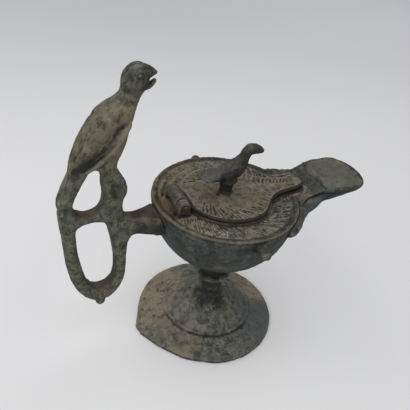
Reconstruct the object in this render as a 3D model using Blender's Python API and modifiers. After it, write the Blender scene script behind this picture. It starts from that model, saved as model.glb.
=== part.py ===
"""A footed bronze oil lamp: round bowl with a leaf-shaped wick pan, hinged lid and bird handle.

Metres, +Z up. The foot stands on z = 0 round the origin and the spout points along +X.
"""

import math

import bmesh
import bpy
from mathutils import Matrix, Vector

MM = 0.001

# Driving dimensions
RIM_RADIUS = 42.0 * MM  # bowl's rim
RIM_HEIGHT = 93.9 * MM  # rim above the table
BOWL_DEPTH = 40.6 * MM  # rim down to the bowl's underside
WALL = 2.6 * MM  # bowl wall
PLATE_THICK = 2.2 * MM  # flat top of the bowl
RIM_LIP = 0.8 * MM  # raised line round the top
SEAT_LIFT = 0.8 * MM  # low collar round the mouth, under the lid
MOUTH_RADIUS = 23.6 * MM  # filling mouth
SPOUT_REACH = 96.2 * MM  # axis to the end of the wick pan
PAN_WIDTH = 36.6 * MM
PAN_EDGE = 2.0 * MM  # width of the pan's edge
NECK_WIDTH = 28.0 * MM
SPOUT_TURN = 2.0  # degrees that the spout was set off the lamp's long axis
WICK_BORE = 9.0 * MM  # width of the channel in the neck
PEG_RADIUS = 3.0 * MM  # side pegs
PEG_REACH = 50.4 * MM  # near peg
FAR_PEG_REACH = 48.0 * MM
LOBE_THICK = 3.6 * MM  # how far a lobe stands out of the bowl
FOOT_RADIUS = 43.7 * MM
FOOT_EDGE = 3.3 * MM  # thickness of the foot's rim
STEM_RADIUS = 7.0 * MM
LID_RADIUS = 26.9 * MM
LID_REACH = 51.8 * MM  # axis to the lid's point
LID_THICK = 2.0 * MM
HINGE_SETBACK = 30.6 * MM  # axis to the hinge line
BARREL_RADIUS = 3.7 * MM
BARREL_LENGTH = 24.0 * MM  # both ears and the knuckle
PIN_RADIUS = 1.2 * MM
HANDLE_REACH = 94.2 * MM  # axis to the handle's outer side
HANDLE_TOP = 174.0 * MM  # bird's crown above the table
HANDLE_DEPTH = 8.4 * MM  # thickness of the stirrup, front to back
BIRD_WIDTH = 18.4 * MM
LID_BIRD_HEIGHT = 30.5 * MM  # lid to the small bird's crown
TENON_RADIUS = 2.0 * MM
GAP = 0.3 * MM  # between pieces

# Heights that follow from them
PLATE_TOP = RIM_HEIGHT - RIM_LIP
BOWL_BOTTOM = RIM_HEIGHT - BOWL_DEPTH
LID_UNDER = PLATE_TOP + SEAT_LIFT + GAP
LID_TOP = LID_UNDER + LID_THICK
HINGE_HEIGHT = LID_UNDER + BARREL_RADIUS + 0.35 * MM

for old in list(bpy.data.objects):
    bpy.data.objects.remove(old, do_unlink=True)

lamp = bpy.data.collections.new("footed_oil_lamp")
helpers = bpy.data.collections.new("shaping_helpers")
bpy.context.scene.collection.children.link(lamp)
bpy.context.scene.collection.children.link(helpers)
helpers.hide_render = True


def metal(name, colour, rough, metallic):
    """A plain Principled material."""
    made = bpy.data.materials.new(name)
    made.use_nodes = True
    shader = made.node_tree.nodes["Principled BSDF"]
    shader.inputs["Base Color"].default_value = (*colour, 1.0)
    shader.inputs["Roughness"].default_value = rough
    shader.inputs["Metallic"].default_value = metallic
    made.diffuse_color = (*colour, 1.0)
    return made


BRONZE = metal("patinated_bronze", (0.105, 0.108, 0.082), 0.72, 0.35)
EARTHY = metal("earthy_bronze", (0.175, 0.150, 0.105), 0.85, 0.15)
DARK = metal("dark_bronze", (0.050, 0.052, 0.048), 0.62, 0.40)
RUST = metal("rusted_iron", (0.120, 0.055, 0.030), 0.90, 0.20)


def put(name, verts, faces, helper=True):
    """An object of these faces, all pointing outward."""
    mesh = bpy.data.meshes.new(name)
    mesh.from_pydata([tuple(v) for v in verts], [], faces)
    body = bmesh.new()
    body.from_mesh(mesh)
    bmesh.ops.remove_doubles(body, verts=body.verts, dist=1e-7)
    bmesh.ops.recalc_face_normals(body, faces=body.faces)
    body.to_mesh(mesh)
    body.free()
    mesh.shade_smooth()
    obj = bpy.data.objects.new(name, mesh)
    if helper:
        helpers.objects.link(obj)
        obj.hide_render = True
        obj.display_type = "WIRE"
    else:
        lamp.objects.link(obj)
    return obj


def turned(name, profile, steps, helper=True):
    """Screw of a profile at +X that runs down its outer side from the axis to the axis."""
    mesh = bpy.data.meshes.new(name)
    points = [(r, 0.0, z) for r, z in profile]
    mesh.from_pydata(points, [(i, i + 1) for i in range(len(points) - 1)], [])
    obj = bpy.data.objects.new(name, mesh)
    (helpers if helper else lamp).objects.link(obj)
    screw = obj.modifiers.new("turn", "SCREW")
    screw.steps = screw.render_steps = steps
    screw.use_merge_vertices = True
    screw.merge_threshold = 0.00002
    screw.use_smooth_shade = True
    if helper:
        obj.hide_render = True
        obj.display_type = "WIRE"
    return obj


def settled(obj):
    """The object as one plain mesh in world space, after its modifiers."""
    bpy.context.view_layer.update()
    graph = bpy.context.evaluated_depsgraph_get()
    mesh = bpy.data.meshes.new_from_object(obj.evaluated_get(graph))
    body = bmesh.new()
    body.from_mesh(mesh)
    bmesh.ops.remove_doubles(body, verts=body.verts, dist=2e-6)
    bmesh.ops.transform(body, matrix=obj.matrix_world, verts=body.verts)
    bmesh.ops.recalc_face_normals(body, faces=body.faces)
    verts = [v.co.copy() for v in body.verts]
    faces = [[v.index for v in f.verts] for f in body.faces]
    body.free()
    bpy.data.objects.remove(obj, do_unlink=True)
    return verts, faces


def loft(name, rings, helper=True):
    """A skin over rings of points, closed at both ends with a fan."""
    count = len(rings[0])
    verts = [p for ring in rings for p in ring]
    faces = []
    for k in range(len(rings) - 1):
        for i in range(count):
            j = (i + 1) % count
            a, b = k * count, (k + 1) * count
            faces.append([a + i, a + j, b + j, b + i])
    for ring, base in ((rings[0], 0), (rings[-1], (len(rings) - 1) * count)):
        middle = sum((Vector(p) for p in ring), Vector()) / count
        verts.append(middle)
        for i in range(count):
            faces.append([base + i, base + (i + 1) % count, len(verts) - 1])
    return put(name, verts, faces, helper)


def join(target, tool, kind="UNION"):
    """One exact Boolean."""
    cut = target.modifiers.new(f"{kind.lower()}_{tool.name}", "BOOLEAN")
    cut.operation = kind
    cut.solver = "EXACT"
    cut.object = tool


def spread(stations, times):
    """Stations with smooth ones put between them (Catmull-Rom)."""
    out = []
    last = len(stations) - 1
    for i in range(last):
        p = [stations[max(0, min(last, i + k))] for k in (-1, 0, 1, 2)]
        for step in range(times):
            t = step / times
            out.append(
                tuple(
                    0.5 * (2 * b + (c - a) * t + (2 * a - 5 * b + 4 * c - d) * t * t
                           + (3 * b - a - 3 * c + d) * t**3)
                    for a, b, c, d in zip(*p)
                )
            )
    out.append(tuple(stations[last]))
    return out


def limb(name, stations, around, times=2):
    """A body along a line in the XZ plane: each station is x, z, half-thickness, half-width."""
    smooth = spread(stations, times)
    rings = []
    for i, (x, z, thick, wide) in enumerate(smooth):
        before, after = smooth[max(0, i - 1)], smooth[min(len(smooth) - 1, i + 1)]
        along = Vector((after[0] - before[0], 0, after[1] - before[1])).normalized()
        across = Vector((-along.z, 0, along.x))
        rings.append([
            Vector((x, 0, z))
            + across * (thick * math.cos(2 * math.pi * k / around))
            + Vector((0, wide * math.sin(2 * math.pi * k / around), 0))
            for k in range(around)
        ])
    return loft(name, rings)


def cylinder(name, start, end, radius, sides=20, end_radius=None):
    """A round bar from start to end."""
    start, end = Vector(start), Vector(end)
    turn = (end - start).to_track_quat("Z", "Y").to_matrix()
    rings = []
    for centre, r in ((start, radius), (end, end_radius or radius)):
        rings.append([
            centre + turn @ Vector((r * math.cos(2 * math.pi * k / sides),
                                    r * math.sin(2 * math.pi * k / sides), 0))
            for k in range(sides)
        ])
    return loft(name, rings)


# Bowl: outer side from rim to underside, as shares of the radius and of the depth
BOWL_SIDE = (
    (0.945, 0.0), (0.988, 0.0), (1.000, 0.009), (1.003, 0.060), (0.992, 0.145), (0.968, 0.255),
    (0.940, 0.375), (0.900, 0.500), (0.822, 0.640), (0.718, 0.775), (0.590, 0.880),
    (0.445, 0.950), (0.300, 0.985), (0.240, 1.0),
)


def bowl_point(share, depth):
    return (share * RIM_RADIUS, RIM_HEIGHT - depth * BOWL_DEPTH)


seat_outer = MOUTH_RADIUS + 1.6 * MM
reservoir = turned(
    "reservoir",
    [(0, PLATE_TOP + SEAT_LIFT), (seat_outer, PLATE_TOP + SEAT_LIFT),
     (seat_outer + 0.4 * MM, PLATE_TOP), (0.925 * RIM_RADIUS, PLATE_TOP)]
    + [bowl_point(*p) for p in BOWL_SIDE] + [(0, BOWL_BOTTOM)],
    44, helper=False,
)

# Spout: x, half-width, top and keel at each station, as shares of the radius
SPOUT_STATIONS = (
    (0.80, 0.590, -0.060, -0.590), (0.93, 0.495, -0.030, -0.585), (1.02, 0.430, -0.001, -0.570),
    (1.12, 0.374, -0.001, -0.540), (1.29, 0.333, -0.001, -0.480), (1.37, 0.330, 0.028, -0.440),
    (1.44, 0.338, 0.058, -0.402), (1.51, 0.366, 0.066, -0.365), (1.60, 0.402, 0.062, -0.320),
    (1.70, 0.428, 0.058, -0.272), (1.82, 0.436, 0.054, -0.232), (1.94, 0.424, 0.051, -0.205),
    (2.05, 0.390, 0.049, -0.185), (2.14, 0.336, 0.048, -0.164), (2.215, 0.262, 0.047, -0.136),
    (2.262, 0.180, 0.046, -0.104), (2.285, 0.090, 0.045, -0.058),
)
NECK_SHARE = NECK_WIDTH / 2 / (0.333 * RIM_RADIUS)
PAN_SHARE = PAN_WIDTH / 2 / (0.436 * RIM_RADIUS)
SPOUT_STRETCH = (SPOUT_REACH - 0.80 * RIM_RADIUS) / ((2.285 - 0.80) * RIM_RADIUS)
turn_spout = Matrix.Rotation(math.radians(SPOUT_TURN), 3, "Z")


def spout_station(share, half, top, keel):
    """One station in metres: the neck and the pan widen on their own."""
    blend = min(1.0, max(0.0, (share - 1.30) / 0.30))
    widen = NECK_SHARE + (PAN_SHARE - NECK_SHARE) * blend
    x = (0.80 + (share - 0.80) * SPOUT_STRETCH) * RIM_RADIUS
    return (x, half * widen * RIM_RADIUS, RIM_HEIGHT + top * RIM_RADIUS,
            RIM_HEIGHT + keel * RIM_RADIUS)


def spout_ring(x, half, top, keel, count=11):
    """A flat top over a keeled underside."""
    ring = [Vector((x, half * s, top)) for s in (-0.5, 0.0, 0.5)]
    for k in range(count):
        turn = math.pi * k / (count - 1)
        ring.append(Vector((x, half * math.cos(turn) * abs(math.cos(turn)) ** -0.1 if k != count // 2
                            else 0, top - (top - keel) * math.sin(turn))))
    return [turn_spout @ p for p in ring]


stations = [spout_station(*s) for s in SPOUT_STATIONS]
join(reservoir, loft("spout", [spout_ring(*s) for s in stations]))
# The plate runs on into the neck between raised edges
floor_half = NECK_WIDTH / 2 - 2.0 * MM
rings = []
for x, half in ((0.900 * RIM_RADIUS, floor_half * 1.10), (1.05 * RIM_RADIUS, floor_half * 1.03),
                (stations[4][0], floor_half)):
    rings.append([Vector((x, -half, PLATE_TOP + 0.02 * MM)), Vector((x, half, PLATE_TOP + 0.02 * MM)),
                  Vector((x, half, RIM_HEIGHT + 3 * MM)), Vector((x, -half, RIM_HEIGHT + 3 * MM))])
    rings[-1] = [turn_spout @ p for p in rings[-1]]
join(reservoir, loft("neck_floor", rings), "DIFFERENCE")

# Lobes: the spout's cheeks, hugging the bowl on both sides under the rim
LOBE_STATIONS = (
    (8.0, 2.10, 0.300, -0.310), (16.0, 2.00, 0.270, -0.290), (24.0, 1.72, 0.225, -0.255),
    (32.0, 1.30, 0.180, -0.215), (42.0, 1.05, 0.135, -0.180), (50.0, 0.98, 0.104, -0.160),
    (56.0, 0.88, 0.082, -0.150), (60.0, 0.62, 0.056, -0.146), (62.0, 0.30, 0.028, -0.146),
)
for side in (1, -1):
    rings = []
    for angle, proud, tall, middle in LOBE_STATIONS:
        a = side * math.radians(angle)
        out = Vector((math.cos(a), math.sin(a), 0))
        ring = []
        for k in range(12):
            turn = 2 * math.pi * k / 12
            r = 0.985 * RIM_RADIUS + (LOBE_THICK + 0.015 * RIM_RADIUS) * proud * math.cos(turn)
            z = RIM_HEIGHT + (middle + tall * math.sin(turn)) * RIM_RADIUS * 0.86
            ring.append(out * r + Vector((0, 0, z)))
        rings.append(ring)
    join(reservoir, loft("lobe_left" if side > 0 else "lobe_right", rings))

# Side pegs, a little thinner at the end
peg_z = RIM_HEIGHT - 0.030 * RIM_RADIUS - PEG_RADIUS
for name, angle, reach in (("far_peg", 87.0, FAR_PEG_REACH), ("near_peg", -91.0, PEG_REACH)):
    c, s = math.cos(math.radians(angle)), math.sin(math.radians(angle))
    root = RIM_RADIUS - WALL - 0.4 * MM
    join(reservoir, cylinder(name, (root * c, root * s, peg_z), (reach * c, reach * s, peg_z),
                             PEG_RADIUS, 18, PEG_RADIUS * 0.9))

# Hinge ears stand on the plate at the handle side
ear = (BARREL_LENGTH / 2 - GAP) * 0.45
ear_drop = PLATE_TOP - 0.6 * MM
for side in (1, -1):
    outer, inner = side * BARREL_LENGTH / 2, side * (BARREL_LENGTH / 2 - ear)
    rings = []
    for y in (outer, inner):
        ring = [Vector((-HINGE_SETBACK - BARREL_RADIUS * 1.25, y, ear_drop))]
        ring += [
            Vector((-HINGE_SETBACK - BARREL_RADIUS * math.cos(math.pi * k / 10), y,
                    HINGE_HEIGHT + BARREL_RADIUS * math.sin(math.pi * k / 10)))
            for k in range(11)
        ]
        ring.append(Vector((-HINGE_SETBACK + BARREL_RADIUS * 1.02, y, ear_drop)))
        rings.append(ring)
    join(reservoir, loft("ear_left" if side > 0 else "ear_right", rings))

# Hollow of the bowl: the outer side moved in by the wall
inner_top = PLATE_TOP - PLATE_THICK
inner_side = []
for share, depth in BOWL_SIDE[4:-2]:
    r, z = bowl_point(share, depth)
    lift = depth**2
    inner_side.append((r - WALL * (1.0 - 0.30 * lift), z + WALL * 0.75 * lift))
inner_side = [p for p in inner_side if p[1] < inner_top - 0.5 * MM]
cavity = turned(
    "hollow",
    [(0, inner_top), (inner_side[0][0] - 1.2 * MM, inner_top),
     (inner_side[0][0], inner_top - 1.2 * MM)]
    + [p for p in inner_side if p[1] < inner_top - 1.6 * MM]
    + [(0, BOWL_BOTTOM + WALL * 1.4)],
    30,
)
join(reservoir, cavity, "DIFFERENCE")
join(reservoir, turned(
    "mouth",
    [(0, PLATE_TOP + SEAT_LIFT + MM), (MOUTH_RADIUS, PLATE_TOP + SEAT_LIFT + MM),
     (MOUTH_RADIUS, inner_top - MM), (0, inner_top - MM)],
    40,
), "DIFFERENCE")

# Wick channel: a low oval bore that rises through the neck and opens in the pan's inner end
bore_low = Vector((0.84 * RIM_RADIUS, 0, inner_top - 0.095 * RIM_RADIUS))
pan_x = stations[6][0]
bore_high = Vector((pan_x + 0.12 * RIM_RADIUS, 0, RIM_HEIGHT - 0.040 * RIM_RADIUS))
rings = []
for centre in (bore_low, bore_high):
    rings.append([
        turn_spout @ (centre + Vector((0, WICK_BORE / 2 * math.cos(2 * math.pi * k / 16),
                                       0.046 * RIM_RADIUS * math.sin(2 * math.pi * k / 16))))
        for k in range(16)
    ])
join(reservoir, loft("wick_channel", rings), "DIFFERENCE")

# Pan: its floor lies inside the edge and climbs a little toward the tip
inside = []
for share, half, top, keel in spread(SPOUT_STATIONS[7:], 2):
    x, half_m, top_m, _ = spout_station(share, half, top, keel)
    inside.append((x, half_m - PAN_EDGE, top_m))
start_x = inside[0][0] - 0.030 * RIM_RADIUS
end_x = SPOUT_REACH - PAN_EDGE * 1.6
first_half, first_top = inside[0][1], inside[0][2]
bed = [(start_x, first_half * 0.72, first_top)] + [p for p in inside if p[1] > 2 * MM and p[0] < end_x]
bed.append((end_x, 1.6 * MM, bed[-1][2]))
rings = []
for x, half, top in bed:
    run = (x - bed[0][0]) / (bed[-1][0] - bed[0][0])
    dip = 1 - math.exp(-run / 0.10)
    floor = RIM_HEIGHT + (-0.078 + 0.074 * dip + 0.022 * run) * RIM_RADIUS
    ring = [Vector((x, -half, top + 2 * MM)), Vector((x, half, top + 2 * MM)),
            Vector((x, half, top - 0.3 * (top - floor)))]
    for s in (0.92, 0.70, 0.36, 0.0, -0.36, -0.70, -0.92):
        ring.append(Vector((x, half * s, floor + (top - floor) * 0.55 * abs(s) ** 3)))
    ring.append(Vector((x, -half, top - 0.3 * (top - floor))))
    rings.append([turn_spout @ p for p in ring])
join(reservoir, loft("pan_bed", rings), "DIFFERENCE")

# Bore for the hinge pin
join(reservoir, cylinder(
    "pin_bore", (-HINGE_SETBACK, -BARREL_LENGTH / 2 - 2 * MM, HINGE_HEIGHT),
    (-HINGE_SETBACK, BARREL_LENGTH / 2 + 2 * MM, HINGE_HEIGHT), PIN_RADIUS + GAP, 16,
), "DIFFERENCE")
reservoir.data.materials.append(BRONZE)

# Foot: rim, flange, step, dome, stem and collar as one turned shell, hollow beneath
foot_top = BOWL_BOTTOM - GAP
SPAN = foot_top / (1.263 * RIM_RADIUS)  # the drawing's heights against this lamp's


def foot_point(share, height):
    return (share * FOOT_RADIUS, height * SPAN * RIM_RADIUS)


def stem_point(share, height):
    return (share * STEM_RADIUS, height * SPAN * RIM_RADIUS)


FOOT_PROFILE = (
    [(0, foot_top)]
    + [stem_point(*p) for p in ((1.72, 1.263), (1.82, 1.235), (1.80, 1.200), (1.62, 1.175),
                                (1.10, 1.145), (1.00, 1.06), (1.06, 0.945),
                                (1.50, 0.915), (1.66, 0.880), (1.52, 0.838), (1.08, 0.805),
                                (1.02, 0.70), (1.12, 0.58))]
    + [foot_point(0.255, 0.465), foot_point(0.360, 0.368),
       foot_point(0.570, 0.222), foot_point(0.600, 0.196), foot_point(0.625, 0.205),
       foot_point(0.660, 0.176), foot_point(0.820, 0.128),
       (0.965 * FOOT_RADIUS, FOOT_EDGE), (FOOT_RADIUS, FOOT_EDGE * 0.70),
       (FOOT_RADIUS, 0.4 * MM), (0.990 * FOOT_RADIUS, 0), (0.925 * FOOT_RADIUS, 0),
       (0.915 * FOOT_RADIUS, 1.0 * MM), foot_point(0.600, 0.115),
       foot_point(0.300, 0.310), (0, 0.395 * SPAN * RIM_RADIUS)]
)
FLAT_SIDE = math.radians(219.0)  # where the rim is worn straight
CORNER_SIDE = math.radians(185.5)  # corner pulled out beside it


def rim_share(angle):
    """The foot's outline against its plain circle."""
    off = math.cos(angle - FLAT_SIDE)
    flat = 0.928 / off if off > 0.5 else 2.0
    turn = math.degrees((angle - CORNER_SIDE + math.pi) % (2 * math.pi) - math.pi)
    corner = 1.0 + 0.115 * math.exp(-((turn / (15.0 if turn < 0 else 9.0)) ** 2))
    return min(flat, corner)


verts, faces = settled(turned("foot_blank", FOOT_PROFILE, 48))
still = 0.66 * FOOT_RADIUS
moved = []
for v in verts:
    r = math.hypot(v.x, v.y)
    if r > still:
        angle = math.atan2(v.y, v.x) % (2 * math.pi)
        grown = still + (r - still) * (rim_share(angle) * FOOT_RADIUS - still) / (FOOT_RADIUS - still)
        v = Vector((v.x * grown / r, v.y * grown / r, v.z))
    moved.append(v)
pedestal = put("pedestal_foot", moved, faces, helper=False)
pedestal.data.materials.append(BRONZE)

# Handle: outlines drawn in the plane y = 0, in rim radii from the lamp's axis and the table
HANDLE_OUT = (HANDLE_REACH - RIM_RADIUS) / (1.228 * RIM_RADIUS)
HANDLE_UP = (HANDLE_TOP - RIM_HEIGHT) / (1.907 * RIM_RADIUS)


def on_handle(x, z):
    """A drawn point in metres."""
    return (-(1.0 + (-x - 1.0) * HANDLE_OUT) * RIM_RADIUS,
            RIM_HEIGHT + (z - 2.236) * HANDLE_UP * RIM_RADIUS)


STIRRUP = (
    (-1.06, 1.91), (-1.24, 1.92), (-1.325, 1.88), (-1.370, 1.78), (-1.380, 1.63), (-1.375, 1.45),
    (-1.382, 1.28), (-1.410, 1.13), (-1.455, 1.02), (-1.530, 0.920), (-1.610, 0.862),
    (-1.700, 0.845), (-1.790, 0.862), (-1.905, 0.945), (-2.012, 1.10), (-2.085, 1.29),
    (-2.126, 1.49), (-2.152, 1.72), (-2.178, 1.97), (-2.202, 2.19), (-2.214, 2.36),
    (-2.192, 2.405), (-2.224, 2.45), (-2.216, 2.55), (-2.165, 2.69), (-2.110, 2.83),
    (-2.060, 2.95), (-1.960, 3.06), (-1.760, 3.22), (-1.560, 3.30), (-1.470, 3.24),
    (-1.485, 3.12), (-1.525, 3.03), (-1.545, 2.95), (-1.535, 2.89), (-1.500, 2.81),
    (-1.440, 2.73), (-1.408, 2.64), (-1.408, 2.55), (-1.452, 2.485), (-1.465, 2.40),
    (-1.452, 2.29), (-1.400, 2.190), (-1.290, 2.160), (-1.06, 2.160),
)
SLOT = (
    (-2.030, 2.08), (-2.020, 1.92), (-2.000, 1.73), (-1.970, 1.53), (-1.930, 1.35),
    (-1.880, 1.195), (-1.800, 1.095), (-1.710, 1.060), (-1.620, 1.085), (-1.545, 1.17),
    (-1.515, 1.31), (-1.522, 1.50), (-1.552, 1.72), (-1.590, 1.92), (-1.625, 2.07),
    (-1.680, 2.165), (-1.800, 2.190), (-1.920, 2.175), (-2.000, 2.135),
)
WEDGE = (
    (-2.062, 2.44), (-2.020, 2.345), (-1.920, 2.295), (-1.830, 2.295), (-1.750, 2.34),
    (-1.700, 2.42), (-1.690, 2.55), (-1.712, 2.70), (-1.712, 2.80), (-1.740, 2.885),
    (-1.805, 2.925), (-1.870, 2.89), (-1.945, 2.75), (-2.020, 2.59),
)
drawn = bpy.data.curves.new("stirrup", "CURVE")
drawn.dimensions = "2D"
drawn.fill_mode = "BOTH"
round_over = min(0.28 * HANDLE_DEPTH, 0.05 * RIM_RADIUS)
drawn.extrude = HANDLE_DEPTH / 2 - round_over
drawn.bevel_depth = round_over
drawn.bevel_resolution = 1
drawn.offset = -round_over
for outline in (STIRRUP, SLOT, WEDGE):
    spline = drawn.splines.new("POLY")
    spline.points.add(len(outline) - 1)
    spline.use_cyclic_u = True
    for point, (x, z) in zip(spline.points, outline):
        px, pz = on_handle(x, z)
        point.co = (px, pz, 0, 1)
plate = bpy.data.objects.new("stirrup", drawn)
plate.rotation_euler = (math.pi / 2, 0, 0)
helpers.objects.link(plate)
verts, faces = settled(plate)
handle = put("bird_handle", verts, faces, helper=False)


def handle_limb(name, drawing, around, times=2):
    """A limb whose stations are drawn in rim radii."""
    wide = BIRD_WIDTH / (0.62 * RIM_RADIUS)
    placed = [
        (*on_handle(x, z), a * RIM_RADIUS * (HANDLE_OUT + HANDLE_UP) / 2, b * RIM_RADIUS * wide)
        for x, z, a, b in drawing
    ]
    return limb(name, placed, around, times)


BODY = (
    (-2.070, 2.900, 0.026, 0.070), (-2.025, 2.965, 0.060, 0.130), (-1.945, 3.080, 0.098, 0.190),
    (-1.840, 3.225, 0.138, 0.255), (-1.715, 3.385, 0.172, 0.300), (-1.605, 3.510, 0.184, 0.310),
    (-1.515, 3.630, 0.160, 0.275), (-1.450, 3.735, 0.122, 0.215), (-1.412, 3.820, 0.118, 0.190),
    (-1.385, 3.915, 0.146, 0.215), (-1.355, 4.005, 0.146, 0.215), (-1.325, 4.088, 0.104, 0.160),
    (-1.305, 4.136, 0.040, 0.066),
)
join(handle, handle_limb("bird_body", BODY, 16))
join(handle, handle_limb("bird_brow", (
    (-1.430, 4.020, 0.070, 0.110), (-1.340, 4.044, 0.092, 0.175), (-1.250, 4.040, 0.080, 0.145),
    (-1.180, 4.032, 0.046, 0.084), (-1.130, 4.026, 0.016, 0.030)), 12))
join(handle, handle_limb("bird_jaw", (
    (-1.400, 3.900, 0.080, 0.130), (-1.300, 3.888, 0.066, 0.125), (-1.215, 3.884, 0.040, 0.080),
    (-1.145, 3.902, 0.014, 0.030)), 12))
join(handle, handle_limb("bird_legs", (
    (-1.605, 2.780, 0.078, 0.140), (-1.625, 2.900, 0.070, 0.150), (-1.600, 3.060, 0.084, 0.180),
    (-1.565, 3.200, 0.110, 0.215), (-1.550, 3.360, 0.132, 0.250), (-1.545, 3.480, 0.125, 0.235)), 12))
# Folded wings stand a little proud of the body, with their lower edges over the legs
for side in (1, -1):
    rings = []
    for x, z, tall, thick in spread((
        (-2.070, 2.905, 0.026, 0.030), (-2.005, 3.010, 0.070, 0.050), (-1.895, 3.165, 0.115, 0.060),
        (-1.765, 3.325, 0.145, 0.066), (-1.640, 3.480, 0.158, 0.070), (-1.540, 3.600, 0.130, 0.060),
        (-1.480, 3.680, 0.070, 0.036)), 1):
        body_half = 0.0
        for (xa, za, _, ba), (xb, zb, _, bb) in zip(BODY, BODY[1:]):
            if za <= z <= zb:
                body_half = ba + (bb - ba) * (z - za) / (zb - za)
        px, pz = on_handle(x, z)
        along = Vector((0.62, 0, 0.78))
        across = Vector((-along.z, 0, along.x))
        wide = BIRD_WIDTH / (0.62 * RIM_RADIUS)
        ring = []
        for k in range(12):
            turn = 2 * math.pi * k / 12
            ring.append(
                Vector((px, side * (body_half * 0.86) * RIM_RADIUS * wide, pz))
                + across * (tall * math.cos(turn) * RIM_RADIUS)
                + Vector((0, side * thick * math.sin(turn) * RIM_RADIUS * wide, 0))
            )
        rings.append(ring)
    join(handle, loft("wing_left" if side > 0 else "wing_right", rings))

# Stalk: widens where it meets the bowl
stalk = []
for x, low, high, half in ((-0.88, 1.840, 2.196, 0.250), (-1.02, 1.850, 2.198, 0.232),
                           (-1.12, 1.870, 2.190, 0.175), (-1.24, 1.885, 2.178, 0.126),
                           (-1.38, 1.890, 2.180, 0.102)):
    px, pz = on_handle(x, (low + high) / 2)
    half_high = (high - low) / 2 * RIM_RADIUS * HANDLE_UP
    ring = []
    for k in range(16):
        turn = 2 * math.pi * k / 16
        c, s = math.cos(turn), math.sin(turn)
        ring.append(Vector((px, half * RIM_RADIUS * math.copysign(abs(c) ** 0.8, c),
                            pz + half_high * math.copysign(abs(s) ** 0.8, s))))
    stalk.append(ring)
join(handle, loft("stalk", stalk))
# Knob under the stirrup
kx, kz = on_handle(-1.690, 0.775)
join(handle, limb("knob", [
    (kx, kz - 0.072 * RIM_RADIUS, 0.012 * RIM_RADIUS, 0.012 * RIM_RADIUS),
    (kx, kz - 0.055 * RIM_RADIUS, 0.045 * RIM_RADIUS, 0.045 * RIM_RADIUS),
    (kx, kz, 0.070 * RIM_RADIUS, 0.070 * RIM_RADIUS),
    (kx, kz + 0.060 * RIM_RADIUS, 0.050 * RIM_RADIUS, 0.050 * RIM_RADIUS),
    (kx, kz + 0.170 * RIM_RADIUS, 0.046 * RIM_RADIUS, 0.046 * RIM_RADIUS)], 12, 1))
# The stalk's end is dressed to the bowl's side
clear = [(r + GAP, z) for r, z in (bowl_point(*p) for p in BOWL_SIDE)]
join(handle, turned(
    "bowl_clearance",
    [(0, RIM_HEIGHT + 9 * MM), (clear[1][0], RIM_HEIGHT + 9 * MM)] + clear[2:-1]
    + [(clear[-1][0], BOWL_BOTTOM - GAP), (0, BOWL_BOTTOM - GAP)],
    44,
), "DIFFERENCE")
handle.data.materials.append(BRONZE)

# Lid: a round plate drawn out to a blunt point over the spout
lid_ring = []
blend_x = 0.500 * LID_RADIUS
for k in range(25):
    angle = math.radians(60 + (180 - 60) * k / 24)
    lid_ring.append((LID_RADIUS * math.cos(angle), LID_RADIUS * math.sin(angle)))
point_len = LID_REACH - blend_x
flank = (
    (1.000, 0.00), (0.992, 0.050), (0.968, 0.112), (0.911, 0.174), (0.803, 0.231), (0.663, 0.261),
    (0.501, 0.298), (0.393, 0.350), (0.296, 0.432), (0.210, 0.544), (0.123, 0.678), (0.055, 0.790),
)
half_outline = [(blend_x + s * point_len, w * LID_RADIUS) for s, w in flank] + lid_ring
# The plate stops short of the ears, and only the knuckle's tongue goes on
stop_x = -HINGE_SETBACK + BARREL_RADIUS * 1.02 + 1.0 * MM
half_outline = [(max(x, stop_x), y) for x, y in half_outline if y >= 0]
outline = half_outline + [(x, -y) for x, y in reversed(half_outline[1:]) if y > 1e-6]
cleaned = [outline[0]]
for p in outline[1:]:
    if math.dist(p, cleaned[-1]) > 0.05 * MM:
        cleaned.append(p)
outline = cleaned
edge = 0.35 * MM
rings = []
for shrink, z in ((edge, LID_UNDER), (0.0, LID_UNDER + edge), (0.0, LID_TOP - edge),
                  (edge, LID_TOP)):
    ring = []
    for x, y in outline:
        size = math.hypot(x, y)
        ring.append(Vector((x * (1 - shrink / size), y * (1 - shrink / size), z)))
    rings.append(ring)
lid = loft("lid", rings, helper=False)
tongue_half = BARREL_LENGTH / 2 - ear - GAP
tongue = []
for y in (-tongue_half, tongue_half):
    ring = [Vector((stop_x + 2.5 * MM, y, LID_UNDER + 0.2 * MM)),
            Vector((stop_x + 2.5 * MM, y, LID_TOP - 0.2 * MM))]
    low, high = math.radians(35), math.radians(283)
    for k in range(13):
        a = low + (high - low) * k / 12
        ring.append(Vector((-HINGE_SETBACK + BARREL_RADIUS * math.cos(a), y,
                            HINGE_HEIGHT + BARREL_RADIUS * math.sin(a))))
    tongue.append(ring)
join(lid, loft("knuckle", tongue))
join(lid, cylinder("lid_bore", (-HINGE_SETBACK, -BARREL_LENGTH, HINGE_HEIGHT),
                   (-HINGE_SETBACK, BARREL_LENGTH, HINGE_HEIGHT), PIN_RADIUS + GAP, 16),
     "DIFFERENCE")
BIRD_X = -0.020 * RIM_RADIUS
join(lid, cylinder("tenon_hole", (BIRD_X, 0, LID_UNDER - 2 * MM), (BIRD_X, 0, LID_TOP + 2 * MM),
                   TENON_RADIUS + GAP, 20), "DIFFERENCE")
lid.data.materials.append(EARTHY)

# Small bird on the lid: its peg goes through the lid and is riveted over beneath
SMALL = LID_BIRD_HEIGHT / (30.5 * MM)
UNIT = SMALL * RIM_RADIUS


def on_lid(x, z):
    return (BIRD_X + (x + 0.025) * UNIT, LID_TOP + GAP + (z - 2.287) * UNIT)


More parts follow.
